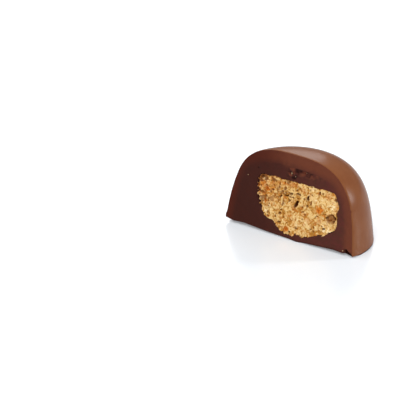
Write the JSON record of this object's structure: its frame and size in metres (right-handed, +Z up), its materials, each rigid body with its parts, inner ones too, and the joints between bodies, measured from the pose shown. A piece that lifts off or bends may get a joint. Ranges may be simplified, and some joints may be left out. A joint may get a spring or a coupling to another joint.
{
  "type": "halved chocolate biscuit praline",
  "caption": "Half of a domed milk chocolate with a dark filling and a crumbly round biscuit, lying flat with its cut face upright.",
  "frame": {"origin": "centre of the bounding box on the table under the piece", "axes": "+X along the cut, to the viewer's right when the cut face is looked at; the cut face looks to -Y and leans back; +Z up, from the flat underside to the crown"},
  "size_m": [0.03, 0.0161, 0.016],
  "materials": {
    "milk_chocolate": "satin moulded chocolate",
    "dark_chocolate": "smooth knife-cut chocolate",
    "biscuit": "rough dry crumb"
  },
  "bodies": {
    "root": {"milk_shell": "milk_chocolate", "dark_filling": "dark_chocolate", "biscuit_centre": "biscuit"}
  },
  "joints": []
}
